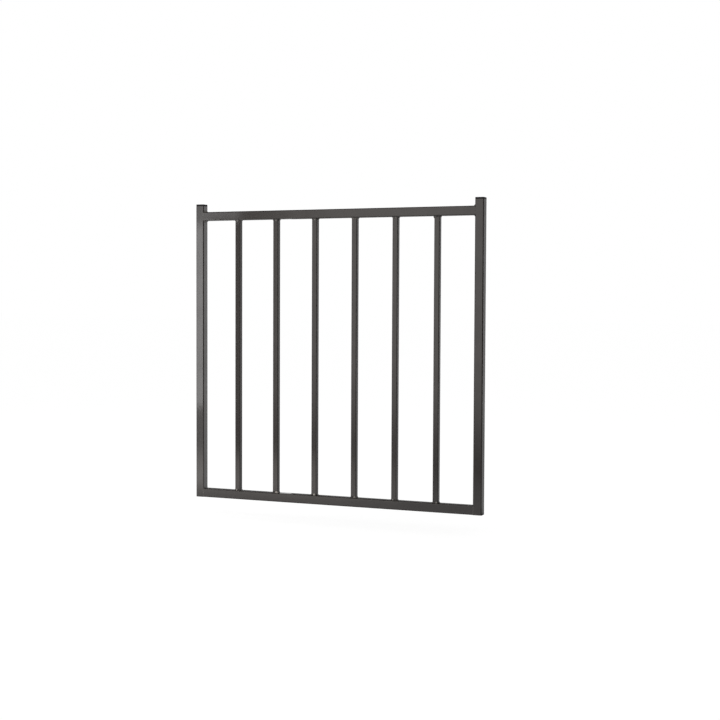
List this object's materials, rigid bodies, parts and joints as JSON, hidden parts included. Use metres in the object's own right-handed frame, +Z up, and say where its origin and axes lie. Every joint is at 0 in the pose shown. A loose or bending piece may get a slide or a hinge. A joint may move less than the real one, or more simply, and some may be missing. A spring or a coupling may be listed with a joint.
{
  "type": "steel fence gate",
  "caption": "Welded square-tube gate leaf with upright pickets between a top and a bottom rail and plugged stile tops; hung by its hinge stile, it closes a walk opening in a fence.",
  "frame": {"origin": "on the outer face of the hinge stile, half way through its depth, level with the leaf's bottom edge", "axes": "+X along the leaf from the hinge stile to the latch stile, -Y out of the leaf's front, +Z up"},
  "size_m": [0.895, 0.0254, 0.87],
  "materials": {
    "powder_coat": "satin powder coat, near black",
    "weld_coat": "satin powder coat over weld beads, near black",
    "cap_plastic": "moulded black plastic"
  },
  "bodies": {
    "root": {"hinge_stile": "powder_coat", "latch_stile": "powder_coat", "top_rail": "powder_coat", "bottom_rail": "powder_coat", "picket_1": "powder_coat", "picket_2": "powder_coat", "picket_3": "powder_coat", "picket_4": "powder_coat", "picket_5": "powder_coat", "picket_6": "powder_coat", "top_rail_hinge_weld": "weld_coat", "top_rail_latch_weld": "weld_coat", "bottom_rail_hinge_weld": "weld_coat", "bottom_rail_latch_weld": "weld_coat", "picket_1_foot_weld": "weld_coat", "picket_1_head_weld": "weld_coat", "picket_2_foot_weld": "weld_coat", "picket_2_head_weld": "weld_coat", "picket_3_foot_weld": "weld_coat", "picket_3_head_weld": "weld_coat", "picket_4_foot_weld": "weld_coat", "picket_4_head_weld": "weld_coat", "picket_5_foot_weld": "weld_coat", "picket_5_head_weld": "weld_coat", "picket_6_foot_weld": "weld_coat", "picket_6_head_weld": "weld_coat", "hinge_stile_cap": "cap_plastic", "latch_stile_cap": "cap_plastic"}
  },
  "joints": []
}
